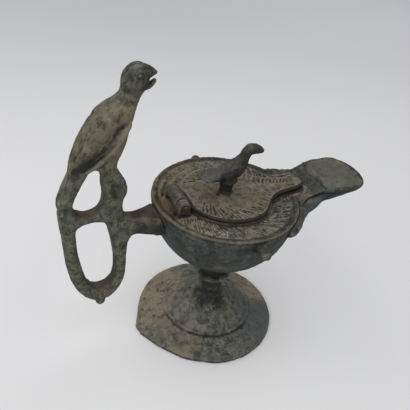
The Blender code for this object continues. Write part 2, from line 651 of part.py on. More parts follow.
peg = turned("lid_bird_peg", [
    (0, LID_TOP + GAP + 0.31 * UNIT), (0.100 * UNIT, LID_TOP + GAP + 0.28 * UNIT),
    (0.112 * UNIT, LID_TOP + GAP + 0.20 * UNIT), (0.092 * UNIT, LID_TOP + GAP + 0.12 * UNIT),
    (0.084 * UNIT, LID_TOP + GAP + 0.045 * UNIT), (0.094 * UNIT, LID_TOP + GAP + 0.02 * UNIT),
    (0.094 * UNIT, LID_TOP + GAP), (TENON_RADIUS, LID_TOP + GAP),
    (TENON_RADIUS, LID_UNDER - GAP), (TENON_RADIUS * 1.55, LID_UNDER - GAP),
    (TENON_RADIUS * 1.45, LID_UNDER - GAP - 0.7 * MM), (TENON_RADIUS * 0.9, LID_UNDER - GAP - 1.1 * MM),
    (0, LID_UNDER - GAP - 1.2 * MM)], 24)
verts, faces = settled(peg)
lid_bird = put("lid_bird", [v + Vector((BIRD_X, 0, 0)) for v in verts], faces, helper=False)
small = [(*on_lid(x, z), a * UNIT, b * UNIT) for x, z, a, b in (
    (-0.440, 2.580, 0.014, 0.085), (-0.380, 2.572, 0.032, 0.110), (-0.290, 2.575, 0.052, 0.095),
    (-0.180, 2.580, 0.080, 0.092), (-0.050, 2.600, 0.104, 0.112), (0.060, 2.645, 0.108, 0.110),
    (0.132, 2.715, 0.082, 0.086), (0.165, 2.795, 0.054, 0.058), (0.192, 2.865, 0.050, 0.054),
    (0.240, 2.908, 0.056, 0.060), (0.310, 2.902, 0.050, 0.052), (0.380, 2.880, 0.034, 0.034),
    (0.430, 2.857, 0.012, 0.012))]
join(lid_bird, limb("small_body", small, 14, 1))
lid_bird.data.materials.append(DARK)

# Iron pin, headed over at both ends
pin_end = BARREL_LENGTH / 2 + 0.3 * MM
rings = []
for y, r in ((-pin_end - 1.0 * MM, 0.75), (-pin_end - 0.85 * MM, 1.25), (-pin_end, 1.6), (-pin_end, 1.0),
             (pin_end, 1.0), (pin_end, 1.6), (pin_end + 0.85 * MM, 1.25), (pin_end + 1.0 * MM, 0.75)):
    rings.append([
        Vector((-HINGE_SETBACK + PIN_RADIUS * r * math.cos(2 * math.pi * k / 16), y,
                HINGE_HEIGHT + PIN_RADIUS * r * math.sin(2 * math.pi * k / 16)))
        for k in range(16)
    ])
pin = loft("hinge_pin", rings, helper=False)
pin.data.materials.append(RUST)

bpy.context.view_layer.update()
print("rim", round(RIM_RADIUS / MM, 1), "height", round(HANDLE_TOP / MM, 1))
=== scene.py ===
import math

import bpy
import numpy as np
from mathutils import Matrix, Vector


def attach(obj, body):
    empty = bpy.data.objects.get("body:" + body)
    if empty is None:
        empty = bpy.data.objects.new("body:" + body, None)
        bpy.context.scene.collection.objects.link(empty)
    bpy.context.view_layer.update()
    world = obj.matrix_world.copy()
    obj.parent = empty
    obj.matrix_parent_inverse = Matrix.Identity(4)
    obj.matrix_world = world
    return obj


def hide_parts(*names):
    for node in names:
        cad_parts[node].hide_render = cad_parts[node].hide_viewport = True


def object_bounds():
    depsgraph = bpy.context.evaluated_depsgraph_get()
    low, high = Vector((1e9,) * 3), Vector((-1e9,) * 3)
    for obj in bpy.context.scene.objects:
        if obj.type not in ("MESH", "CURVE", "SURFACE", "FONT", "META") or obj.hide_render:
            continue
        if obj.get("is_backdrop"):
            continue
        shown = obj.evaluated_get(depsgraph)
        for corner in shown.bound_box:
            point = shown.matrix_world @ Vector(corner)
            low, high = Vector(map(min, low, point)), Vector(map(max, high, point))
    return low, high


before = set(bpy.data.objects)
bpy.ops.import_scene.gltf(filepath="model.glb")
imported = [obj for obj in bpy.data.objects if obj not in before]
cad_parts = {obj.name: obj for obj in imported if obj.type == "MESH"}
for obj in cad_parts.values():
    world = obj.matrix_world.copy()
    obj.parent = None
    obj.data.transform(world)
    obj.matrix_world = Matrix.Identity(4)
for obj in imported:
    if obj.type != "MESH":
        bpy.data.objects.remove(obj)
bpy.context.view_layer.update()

# %% [markdown]
# # A footed bronze oil lamp
# The lamp is an old casting: a round bowl on a stem, a spout with a leaf-shaped pan for the wick,
# a lid with a small bird on it and a handle with a larger bird. The CAD part gives every piece its
# exact place. The pieces could be modelled afresh, but then each would have to be fitted to the
# joint. So this script copies each solid as a dense mesh, wears it, engraves it and gives it a
# patina.

MM = 0.001


def corners():
    """The lowest and highest corner of everything, as plain lists."""
    return [[round(float(v), 6) for v in corner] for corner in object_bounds()]


# %% [markdown]
# ## The camera
# The photograph looks down at the lamp from the handle side, tilted by about nine degrees. The
# position and the three directions below were found by fitting the circles of the rim and of the
# foot. A matrix is used rather than angles, because it holds the tilt without any further sum.

# %% Place the camera
LENS = 46.08  # mm
SENSOR = 36.0  # mm wide
NEAREST = 0.01  # m, where the view starts
EYE = Vector((-0.13363, -0.20745, 0.25875))
RIGHT = Vector((0.898645, -0.419056, 0.129727))
UP = Vector((0.150174, 0.571734, 0.806578))
BACK = Vector((-0.412171, -0.705346, 0.576718))

lens = bpy.data.cameras.new("photo_view")
lens.lens = LENS
lens.sensor_width = SENSOR
lens.clip_start = NEAREST
camera = bpy.data.objects.new("photo_view", lens)
camera.matrix_world = Matrix((
    (RIGHT.x, UP.x, BACK.x, EYE.x),
    (RIGHT.y, UP.y, BACK.y, EYE.y),
    (RIGHT.z, UP.z, BACK.z, EYE.z),
    (0, 0, 0, 1),
))
bpy.context.scene.collection.objects.link(camera)
bpy.context.scene.camera = camera
print("camera stands", round(EYE.length / MM), "mm from the foot's centre")

# %% [markdown]
# ## Writing shader sums as Python
# A material is a net of nodes. Written out one by one they hide the idea, so a small class wraps a
# socket: adding or multiplying two wrapped sockets adds the Math node that does it. Any other node
# comes from one method that takes its type, its settings and what goes into it. Colours are mixed
# by a Mix node, because a Math node would turn them grey.

# %% A wrapped socket
class Wire:
    """An output socket that can be used in sums."""

    def __init__(self, tree, socket):
        self.tree, self.socket = tree, socket

    def node(self, kind, settings=None, out=0, **inputs):
        """Adds a node: settings first, then values or links by socket name or number."""
        made = self.tree.nodes.new(kind)
        for key, value in (settings or {}).items():
            setattr(made, key, value)
        for key, value in inputs.items():
            numbered = key[0] == "n" and key[1:].isdigit()
            key = int(key[1:]) if numbered else key.replace("_", " ")
            if isinstance(value, Wire):
                self.tree.links.new(value.socket, made.inputs[key])
            else:
                made.inputs[key].default_value = value
        return Wire(self.tree, made.outputs[out])

    def sum(self, operation, other=0.0, third=0.0, clamp=False):
        return self.node("ShaderNodeMath", {"operation": operation, "use_clamp": clamp},
                         n0=self, n1=other, n2=third)

    def __add__(self, other):
        return self.sum("ADD", other)

    __radd__ = __add__

    def __mul__(self, other):
        return self.sum("MULTIPLY", other)

    __rmul__ = __mul__

    def __sub__(self, other):
        return self.sum("SUBTRACT", other)

    def __rsub__(self, other):
        return (self * -1.0) + other

    def __pow__(self, other):
        return self.sum("POWER", other)

    def kept(self):
        """Held between 0 and 1."""
        return self.sum("ADD", 0.0, clamp=True)

    def between(self, low, high):
        """0 below low, 1 above high, smooth in between."""
        return self.node("ShaderNodeMapRange", {"interpolation_type": "SMOOTHSTEP"},
                         Value=self, From_Min=low, From_Max=high)

    def tint(self, under, over):
        """Mixes two colours by this share."""
        return self.node("ShaderNodeMix", {"data_type": "RGBA"}, out=2, n0=self,
                         n6=as_colour(under), n7=as_colour(over))


def as_colour(value):
    return value if isinstance(value, Wire) else (*value, 1.0)


print("reflected forms:", [name for name in vars(Wire) if name.startswith("__r")])

# %% [markdown]
# ## The patina
# Buried bronze turns dark olive, with slate-blue and grey-green areas and a tan crust of earth on
# what faced up. It could be painted on, but then it would not follow the form. Here it reads six
# values that are worked out on each mesh: `earth` (where dirt settles), a value for wear and
# painted shade (rubbed ridges above 0; creases and painted shade below 0), `rust` (near the iron
# pin),
# `slate` (cool, dark sides), `bare` (metal rubbed back to a coppery line) and `chalk` (pale mineral
# in scratches). Noises of several sizes break each of them up, so that no area has a clean border.

# %% The colours of old bronze
TAN = (0.205, 0.158, 0.100)
SLATE = (0.040, 0.048, 0.055)
VERDIGRIS = (0.098, 0.126, 0.092)
RUSTY = (0.108, 0.058, 0.036)
BARE = (0.190, 0.120, 0.084)
# The next colour is also the near-black of painted shade.
SOOT_AND_SHADE = (0.010, 0.010, 0.009)
UMBER = (0.105, 0.078, 0.048)
RUBBED = (0.215, 0.200, 0.150)
CHALK = (0.380, 0.375, 0.340)
VALUES = ("earth", "worn_and_shaded", "rust", "slate", "bare", "chalk")
BUMP_HEIGHT = 0.40 * MM
print(len(VALUES), "values steer the patina")


# %% Build a patina material
def patina(name, deep, pale, earth_tone=TAN, rough=0.70, metallic=0.10, green=0.6, bump=0.70,
           rub=0.35, umber=0.45, cold=SLATE, gloss=0.30):
    """Aged bronze between a deep and a pale tone."""
    material = bpy.data.materials.new(name)
    material.use_nodes = True
    tree = material.node_tree
    shader = tree.nodes["Principled BSDF"]
    where = Wire(tree, tree.nodes.new("ShaderNodeTexCoord").outputs["Object"])

    def cloud(scale, detail=5.0, roughness=0.6, twist=0.0):
        return where.node("ShaderNodeTexNoise", Vector=where, Scale=scale, Detail=detail,
                          Roughness=roughness, Distortion=twist)

    def value(attribute):
        return where.node("ShaderNodeAttribute", {"attribute_name": attribute}, out=2)

    # From the broadest to the finest; a scale of 100 has features of about a centimetre.
    broad = cloud(34.0)
    patch = cloud(88.0, 6.0, 0.62, 0.9)
    blotch = cloud(260.0, 6.0, 0.68, 0.5)
    mottle = cloud(620.0, 5.0, 0.72, 1.2)
    grain = cloud(1500.0, 4.0, 0.7)
    stain = cloud(330.0, 5.0, 0.7, 1.0)
    speck = where.node("ShaderNodeTexVoronoi", {"feature": "F1"}, Vector=where, Scale=430.0)
    earth, worn_and_shaded, rust, slate, bare, chalk = (value(name) for name in VALUES)

    tone = (0.55 * blotch + 0.45 * mottle).between(0.43, 0.58).tint(deep, pale)
    tone = (stain.between(0.50, 0.60) * umber).tint(tone, UMBER)
    tone = (slate * patch.between(0.34, 0.58)).kept().tint(tone, cold)
    tone = (patch.between(0.48, 0.64) * green * blotch.between(0.36, 0.58)).tint(tone, VERDIGRIS)
    crust = earth * (0.25 + 1.2 * broad.between(0.36, 0.60))
    crust = (crust * (0.6 * blotch + 0.4 * patch).between(0.34, 0.58)).kept()
    tone = crust.tint(tone, earth_tone)
    tone = (rust * (0.5 * blotch + 0.5 * mottle).between(0.40, 0.56)).kept().tint(tone, RUSTY)
    tone = (bare * mottle.between(0.34, 0.56)).kept().tint(tone, BARE)
    tone = (worn_and_shaded.between(0.12, 0.80) * rub).tint(tone, RUBBED)
    tone = (chalk * mottle.between(0.36, 0.54)).kept().tint(tone, CHALK)
    tone = (mottle.between(0.56, 0.63) * 0.62).tint(tone, deep)
    tone = (grain.between(0.54, 0.66) * 0.30).tint(tone, SOOT_AND_SHADE)
    tone = (speck.between(0.15, 0.05) * 0.50 * blotch.between(0.42, 0.60)).tint(tone, SOOT_AND_SHADE)
    # Below 0 the wear value darkens towards near-black: creases, and the painted shade and painted
    # shadows set on each mesh.
    tone = ((0.0 - worn_and_shaded).between(0.05, 0.75) * 0.88).tint(tone, SOOT_AND_SHADE)
    tree.links.new(tone.socket, shader.inputs["Base Color"])

    dull = rough - 0.12 + mottle * 0.22 + crust * 0.10
    tree.links.new(dull.kept().socket, shader.inputs["Roughness"])
    shader.inputs["Metallic"].default_value = metallic
    shader.inputs["Specular IOR Level"].default_value = gloss
    height = grain * 0.35 + mottle * 0.8 + blotch * 0.5
    height = height + speck.between(0.02, 0.22) * 0.4 + crust * 0.4
    relief = where.node("ShaderNodeBump", Strength=bump, Distance=BUMP_HEIGHT, Height=height)
    tree.links.new(relief.socket, shader.inputs["Normal"])
    return material


# %% [markdown]
# ## Seven finishes
# Each piece aged in its own way: the bowl is nearly black, the foot pale with earth, the small bird
# smooth and dark, the pin rusty. Seven separate nets could be drawn, but one patina with other
# tones keeps them of one metal.

# %% Make the finishes
PATINAS = {
    "bowl": patina("bowl_bronze", (0.019, 0.022, 0.020), (0.060, 0.062, 0.049), umber=0.25,
                   gloss=0.20),
    "plate": patina("plate_bronze", (0.038, 0.041, 0.030), (0.222, 0.216, 0.152), green=0.45,
                    rub=0.6),
    "foot": patina("foot_bronze", (0.040, 0.046, 0.037), (0.184, 0.190, 0.154),
                   earth_tone=(0.262, 0.213, 0.150), cold=(0.082, 0.096, 0.108)),
    "handle": patina("handle_bronze", (0.031, 0.036, 0.026), (0.168, 0.168, 0.116)),
    "lid": patina("lid_bronze", (0.040, 0.039, 0.027), (0.180, 0.162, 0.110), green=0.3, rub=0.6),
    "small_bird": patina("small_bird_bronze", (0.012, 0.013, 0.013), (0.038, 0.038, 0.036),
                         green=0.2, rough=0.60, metallic=0.15, rub=0.2, umber=0.15),
    "pin": patina("pin_iron", (0.024, 0.017, 0.012), (0.075, 0.045, 0.028), green=0.0, rough=0.85),
}
print(len(PATINAS), "patinas")

# %% [markdown]
# ## Dense copies
# The solids are made of flat facets with crisp edges. An old casting has neither: its edges are
# rounded and its faces wander a little. A subdivision surface would round the facets but leave
# long thin faces. Instead each solid is rebuilt from small even cells with the Remesh modifier, and
# smoothed. That gives points close enough together to carve.

# %% Copy a solid as a dense mesh
def dense_copy(node, name, cell, passes=3):
    """A copy of a CAD node made of even cells of this size."""
    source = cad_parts[node]
    rough_mesh = source.data.copy()
    rough_mesh.transform(source.matrix_world)
    blank = bpy.data.objects.new(name + "_blank", rough_mesh)
    bpy.context.scene.collection.objects.link(blank)
    cells = blank.modifiers.new("cells", "REMESH")
    cells.mode = "VOXEL"
    cells.voxel_size = cell
    cells.adaptivity = 0.0
    soft = blank.modifiers.new("soften", "SMOOTH")
    soft.factor = 0.5
    soft.iterations = passes
    graph = bpy.context.evaluated_depsgraph_get()
    mesh = bpy.data.meshes.new_from_object(blank.evaluated_get(graph))
    bpy.data.objects.remove(blank, do_unlink=True)
    mesh.name = name
    mesh.materials.clear()
    piece = bpy.data.objects.new(name, mesh)
    bpy.context.scene.collection.objects.link(piece)
    print(name, "has", len(mesh.polygons), "faces, or", 2 * len(mesh.polygons), "triangles")
    return piece


def points_of(piece):
    """Positions and outward directions of a piece's points."""
    mesh = piece.data
    spots = np.empty(len(mesh.vertices) * 3)
    mesh.vertices.foreach_get("co", spots)
    out = np.empty(len(mesh.vertices) * 3)
    mesh.vertex_normals.foreach_get("vector", out)
    return spots.reshape(-1, 3), out.reshape(-1, 3)


def move_points(piece, spots):
    piece.data.vertices.foreach_set("co", spots.ravel())
    piece.data.update()


# %% [markdown]
# ## A wandering surface
# Real castings are lumpy at several sizes. A Displace modifier could do it, but the same lumps are
# needed for the colours too. Numbers on a lattice, blended smoothly between its corners, serve
# both. The lattice is seeded, so every run gives the same lamp.

# %% Lumps on a lattice
LATTICE_SIDE = 32
LATTICE = np.random.default_rng(11).random((LATTICE_SIDE,) * 3) * 2 - 1
FAR_IN = 64.0  # cells, so that every place is positive


def lumps(spots, size):
    """Smooth values between -1 and 1 with features of this size in metres."""
    place = spots / size + FAR_IN
    cell = np.floor(place).astype(int)
    part = place - cell
    part = part * part * (3 - 2 * part)
    total = np.zeros(len(spots))
    for corner in np.ndindex(2, 2, 2):
        share = np.ones(len(spots))
        for axis in range(3):
            share *= part[:, axis] if corner[axis] else 1 - part[:, axis]
        at = (cell + corner) % LATTICE_SIDE
        total += share * LATTICE[at[:, 0], at[:, 1], at[:, 2]]
    return total


def step(low, high, values):
    """0 below low, 1 above high, smooth in between."""
    t = np.clip((values - low) / (high - low), 0, 1)
    return t * t * (3 - 2 * t)


def mm_step(low, high, values):
    """The same with its limits in millimetres, for values in metres."""
    return step(low * MM, high * MM, values)


BROAD_LUMP, LUMP, GRAIN, PIT = 7 * MM, 3.1 * MM, 1.3 * MM, 2.2 * MM
ELSEWHERE = 0.3  # m, so that the pits don't follow the lumps


def weather(piece, coarse=0.16, fine=0.07, pits=0.16):
    """Lumps and small pits, in millimetres."""
    spots, out = points_of(piece)
    push = coarse * lumps(spots, BROAD_LUMP) + 0.5 * coarse * lumps(spots, LUMP)
    push += fine * lumps(spots, GRAIN)
    push -= pits * step(0.45, 0.80, lumps(spots + ELSEWHERE, PIT))
    move_points(piece, spots + out * (push * MM)[:, None])


print("lattice of", LATTICE.size, "numbers up to", LATTICE.max().round(2))


# %% [markdown]
# ## Grooves
# Engraving is a list of short strokes. Real cuts could be made with booleans, which are slow and
# leave ragged faces. Here each point of the mesh measures how far it is from the nearest stroke and
# sinks when it is close. The strokes are only marks: they form no letters.

# %% Cut strokes
def cut(flat, strokes, width):
    """How deep each flat point lies in the strokes, from 0 to 1."""
    depth = np.zeros(len(flat))
    x, y = flat[:, 0], flat[:, 1]
    for (ax, ay), (bx, by) in strokes:
        near = np.flatnonzero((x > min(ax, bx) - width) & (x < max(ax, bx) + width)
                              & (y > min(ay, by) - width) & (y < max(ay, by) + width))
        if not len(near):
            continue
        along = np.array([bx - ax, by - ay])
        run = max(float(along @ along), 1e-12)
        t = np.clip(((flat[near] - (ax, ay)) @ along) / run, 0, 1)
        gap = np.linalg.norm(flat[near] - (np.array([ax, ay]) + t[:, None] * along), axis=1)
        depth[near] = np.maximum(depth[near], 1 - step(0.25 * width, width, gap))
    return depth


def chain(line):
    """A polyline as strokes."""
    return list(zip(line[:-1], line[1:]))


def arc(cx, cy, r, start, stop, count=12):
    """Points on an arc, angles in degrees."""
    return [(cx + r * math.cos(math.radians(start + (stop - start) * k / count)),
             cy + r * math.sin(math.radians(start + (stop - start) * k / count)))
            for k in range(count + 1)]


trial = cut(np.array([[0.0, 0.0], [0.0, 0.4], [0.0, 0.6]]), [((-1, 0), (1, 0))], 0.6)
print("depth on a stroke, beside it and past its width:", trial.round(2))

# %% [markdown]
# ## Reading the form for the patina
# Dirt lies in creases and on what faces up, and ridges are rubbed pale. The shader's own Pointiness
# only works in one engine and isn't kept by an export. So the script measures it: a point that
# stands out from the middle of its neighbours is a ridge, and one that lies below is a crease.

# %% Ridges, creases and settled dirt
def averaged(mesh, values, passes):
    """Each point's three numbers blended with its neighbours'."""
    ends = np.empty(len(mesh.edges) * 2, dtype=np.int32)
    mesh.edges.foreach_get("vertices", ends)
    a, b = ends.reshape(-1, 2).T
    count = np.bincount(a, minlength=len(values)) + np.bincount(b, minlength=len(values)) + 1.0
    for _ in range(passes):
        values = np.stack([
            (values[:, k] + np.bincount(a, values[b, k], len(values))
             + np.bincount(b, values[a, k], len(values))) / count for k in range(3)], axis=1)
    return values


def note(piece, **fields):
    """Stores values on the points for the patina to read."""
    for name, values in fields.items():
        layer = piece.data.attributes.new(name, "FLOAT", "POINT")
        layer.data.foreach_set("value", np.asarray(values, dtype=np.float32))


def smoothed(piece, spots, passes, share):
    """The points, moved towards the middle of their neighbours by this share."""
    return spots + (averaged(piece.data, spots, passes) - spots) * share[:, None]


def read_form(piece, reach, gain):
    """The worn value: above 0 on ridges, below 0 in creases."""
    spots, out = points_of(piece)
    calm = averaged(piece.data, spots, reach)
    proud = np.einsum("ij,ij->i", spots - calm, out) / MM * gain
    return np.clip(proud, -1, 1)


def finish_piece(piece, body, node, material, fields):
    """Materials, rides and smooth shading for one finished piece."""
    for name in VALUES:
        if name not in fields:
            fields[name] = np.zeros(len(piece.data.vertices))
    note(piece, **fields)
    piece.data.materials.append(material)
    piece.data.shade_smooth()
    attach(piece, body)
    if node:
        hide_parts(node)
    shares = {name: round(float(np.mean(values)), 2) for name, values in fields.items()}
    print(piece.name, "rides on", body, "with mean values", shares)


# %% [markdown]
# ## The outlines of the engraved areas
# The flat top and the lid are engraved. That needs much finer cells than the rest, so the engraving
# gets thin sheets of its own. Their outlines could be drawn as curves and filled. A function that
# says how far inside a point lies does the same, and also tells the border from the middle.

# %% Inside or outside
HINGE = np.array([-30.6 * MM, 0.0, 98.25 * MM])
HINGE_HALF, HINGE_DEPTH = 12.8 * MM, 5.4 * MM
SPOUT_TURN = math.radians(2.0)
TURNED = (math.cos(SPOUT_TURN), math.sin(SPOUT_TURN))
LID_R, LID_POINT, LID_BACK = 26.9 * MM, 51.8 * MM, 24.9 * MM
LID_MARGIN = 1.0 * MM
BAND_START, BAND_END = 25.7 * MM, 38.9 * MM
NECK_START, NECK_END, NECK_HALF = 33 * MM, 53.6 * MM, 12.0 * MM
HALF_WIDTHS = np.array([
    (13.45, 23.3), (15.6, 21.25), (18.2, 18.24), (21.5, 14.63), (24.8, 11.62), (28.5, 9.42),
    (32.7, 8.02), (38.9, 7.02), (44.3, 6.2), (48.3, 4.7), (50.6, 3.0), (51.5, 1.3), (51.8, 0.0),
]) * MM
LOWERED = 0.55  # mm, how far a casting sinks under its relief sheet


def lid_room(flat):
    """Metres inside the lid's outline, nearly."""
    x, y = flat[:, 0], np.abs(flat[:, 1])
    disc = LID_R - np.hypot(x, y)
    flank = np.interp(x, HALF_WIDTHS[:, 0], HALF_WIDTHS[:, 1], left=1.0, right=-1.0) - y
    flank = np.minimum(flank * 0.85, (LID_POINT - x) * 0.9)
    room = np.where(x > HALF_WIDTHS[0, 0], flank, disc)
    return np.minimum(room, x + LID_BACK) - LID_MARGIN


def plate_room(flat):
    """Metres from the border of the engraved area, above 0 inside it."""
    x, y = flat[:, 0], flat[:, 1]
    r = np.hypot(x, y)
    ring = np.minimum(r - BAND_START, BAND_END - r)
    along = x * TURNED[0] + y * TURNED[1]
    across = -x * TURNED[1] + y * TURNED[0]
    neck = np.minimum(np.minimum(along - NECK_START, NECK_END - along), NECK_HALF - np.abs(across))
    hinge = np.maximum(np.abs(y) - HINGE_HALF, np.abs(x - HINGE[0]) - HINGE_DEPTH)
    return np.minimum(np.maximum(ring, neck), np.minimum(hinge, r - BAND_START))


def lower_under(spots, out, room, level):
    """Sinks the points that lie under a relief sheet."""
    under = mm_step(0.9, 1.5, room) * (out[:, 2] > 0.6) * (np.abs(spots[:, 2] - level) < 0.5 * MM)
    spots[:, 2] -= under * LOWERED * MM
    return spots


def patch_at(spots, x, y, z, size):
    """1 at a spot, fading to 0 at this distance; all in millimetres."""
    gap = np.linalg.norm(spots - np.array([x, y, z]) * MM, axis=1)
    return step(size * MM, 0.35 * size * MM, gap)


middle = float(lid_room(np.zeros((1, 2)))[0])
print("the lid's fringe can reach", round(middle / MM, 1), "mm from its middle")

# %% [markdown]
# ## Bowl, spout and pegs
# The body of the lamp is one casting. Its corners are softer than the solid's, the keel under the
# neck is fuller, and a fine groove runs below the rim. Sculpting by hand would not repeat, so the
# points are pushed along their own directions by amounts that depend on where they are.

# %% Shape the bowl
BOWL_CELL = 0.70 * MM
RIM_TOP, PLATE = 93.9 * MM, 93.1 * MM
WICK_PIT = np.array([61.8, -11.6, 96.0]) * MM
KEEL_FILL, PIT_DEPTH, GROOVE_DEPTH = 3.0, 0.9, 0.32  # mm
TIP_WIDEN = 0.16

bowl = dense_copy("reservoir", "bowl_casting", BOWL_CELL)
spots, out = points_of(bowl)
spots = smoothed(bowl, spots, 9, mm_step(56, 62, spots[:, 0]))
at_lugs = mm_step(9, 6, np.hypot(spots[:, 0] - HINGE[0], spots[:, 2] - HINGE[2]))
spots = smoothed(bowl, spots, 5, at_lugs * mm_step(93.6, 94.6, spots[:, 2]))
keel = patch_at(spots, 52.0, -11.0, 85.0, 14.0) + patch_at(spots, 52.0, 11.0, 85.0, 14.0)
keel = keel * mm_step(92.5, 90.5, spots[:, 2])
spots = spots + averaged(bowl.data, out, 9) * (keel * KEEL_FILL * MM)[:, None]
spots = smoothed(bowl, spots, 6, np.clip(2 * keel, 0, 1))
spots[:, 1] *= 1 + TIP_WIDEN * mm_step(78, 93, spots[:, 0])
move_points(bowl, spots)
print("keel filled on", int((keel > 0.1).sum()), "points")

# %% Pit, groove and wear of the bowl
spots, out = points_of(bowl)
angle = np.degrees(np.arctan2(spots[:, 1], spots[:, 0]))
radius = np.hypot(spots[:, 0], spots[:, 1])
on_side = (radius > 38 * MM) & (np.abs(spots[:, 2] - RIM_TOP) < 4 * MM)
pit = np.exp(-(np.linalg.norm(spots - WICK_PIT, axis=1) / (0.9 * MM)) ** 2)
rim_groove = np.exp(-((spots[:, 2] - RIM_TOP + 1.5 * MM) / (0.42 * MM)) ** 2) * on_side
push = pit * PIT_DEPTH + rim_groove * GROOVE_DEPTH
move_points(bowl, spots - out * (push * MM)[:, None])
weather(bowl, coarse=0.15, fine=0.08)
spots, out = points_of(bowl)
move_points(bowl, lower_under(spots, out, plate_room(spots[:, :2]), PLATE))
print("groove below the rim on", int((rim_groove > 0.5).sum()), "points")

# %% [markdown]
# ## The bowl's colours
# The side stayed dark and slate-coloured, tan earth clings to the top and round the handle's root,
# and the rust comes from the iron pin. Masks could be painted by hand, but these are worked out
# from height, direction and distance, so that they stay right if a size changes.

# %% Patinate the bowl
spots, out = points_of(bowl)
x, y, z = spots.T
top = step(0.55, 0.95, out[:, 2])
left = mm_step(15, -38, x)
near_hinge = np.linalg.norm(spots - HINGE, axis=1)
front = step(25, -20, angle) * step(-178, -120, angle)
rim_line = mm_step(41.3, 41.7, radius) * mm_step(42.9, 42.2, radius)
rim_line = rim_line * step(RIM_TOP - 1.0 * MM, RIM_TOP - 0.3 * MM, z)
neck_side = mm_step(34, 44, x) * (1 - top)
streaks = lumps(np.c_[np.radians(angle) * 0.040, z * 0.15, z * 0], 1.6 * MM)
streaks = step(0.25, 0.75, streaks) * mm_step(12, 24, x) * (1 - top) * (x < 44 * MM)
lip = mm_step(41.2, 40.4, radius) * top * (z > PLATE + 0.2 * MM) * (radius > 38 * MM)
lobe_end = patch_at(spots, 22.6, -38.0, 86.5, 8) + patch_at(spots, 22.6, 38.0, 86.5, 8)

worn_and_shaded = read_form(bowl, 5, 4.5) - pit * 1.0 - rim_groove * 0.35
pan_top = mm_step(56, 62, x) * top
pan_edge = pan_top * step(0.08, 0.40, worn_and_shaded)
worn_and_shaded = worn_and_shaded * (1 - 0.5 * top) - 0.6 * lobe_end + 0.22 * lumps(spots, 4 * MM)
worn_and_shaded = worn_and_shaded + pan_top * (0.82 + 0.35 * lumps(spots, 3.5 * MM)) - 1.1 * pan_edge - 0.62 * lip
worn_and_shaded = worn_and_shaded - 0.45 * patch_at(spots, -3.0, -45.0, 89.0, 6.5)
worn_and_shaded = worn_and_shaded - 0.38 * mm_step(55, 62, x) * step(0.4, -0.1, out[:, 2])
worn_and_shaded = worn_and_shaded - 0.62 * patch_at(spots, -30.6, 0.0, 98.0, 19.0) * mm_step(93.5, 94.5, z)

earth = top * (x < 45 * MM) * (0.12 + 0.55 * left)
earth = earth + 0.45 * step(0.15, 0.7, lumps(spots, 8 * MM)) * left
earth = earth + 0.8 * patch_at(spots, -1.0, -51.2, 90.6, 3.2)
earth = earth + 0.5 * patch_at(spots, 66.0, -3.5, 95.0, 5.0)
earth = earth + 0.35 * patch_at(spots, 66.0, 8.0, 95.0, 6.0)

finish_piece(bowl, "lamp", "reservoir", PATINAS["bowl"], {
    "worn_and_shaded": np.clip(worn_and_shaded, -1, 1),
    "earth": np.clip(earth, 0, 1),
    "rust": np.clip(mm_step(17, 7, near_hinge) * step(-0.5, 0.3, lumps(spots, 5 * MM))
                    * (1 - 0.75 * mm_step(94.0, 95.0, z))
                    + 1.2 * patch_at(spots, -40.0, -3.0, 93.5, 11.0), 0, 1),
    "slate": (1 - top) * step(RIM_TOP, RIM_TOP - 6 * MM, z) * 0.75 + 0.8 * neck_side,
    "chalk": np.clip(0.28 * streaks * mm_step(80, 86, z)
                     + 0.15 * patch_at(spots, 49.0, -13.4, 93.6, 4.0), 0, 1),
    "bare": np.clip(rim_line * (0.35 + 0.65 * front) * step(-0.5, 0.3, lumps(spots, 6 * MM)) * 0.6
                    + 0.7 * patch_at(spots, 47.0, -13.5, 93.8, 6.0) * (radius > 40 * MM), 0, 1),
})

# %% [markdown]
# ## A relief sheet
# The engraving could be cut into the casting itself, but then the whole bowl would need cells of a
# quarter of a millimetre. A thin closed sheet carries it instead. Its border sinks into the plate,
# so that it needs no join, and the casting is lowered under it, or it would fill the strokes.

# %% Make a relief sheet
SHEET_LIFT, SHEET_DIP, STROKE_DEPTH, SHEET_BACK = 0.14, 0.12, 0.42, 0.90  # mm


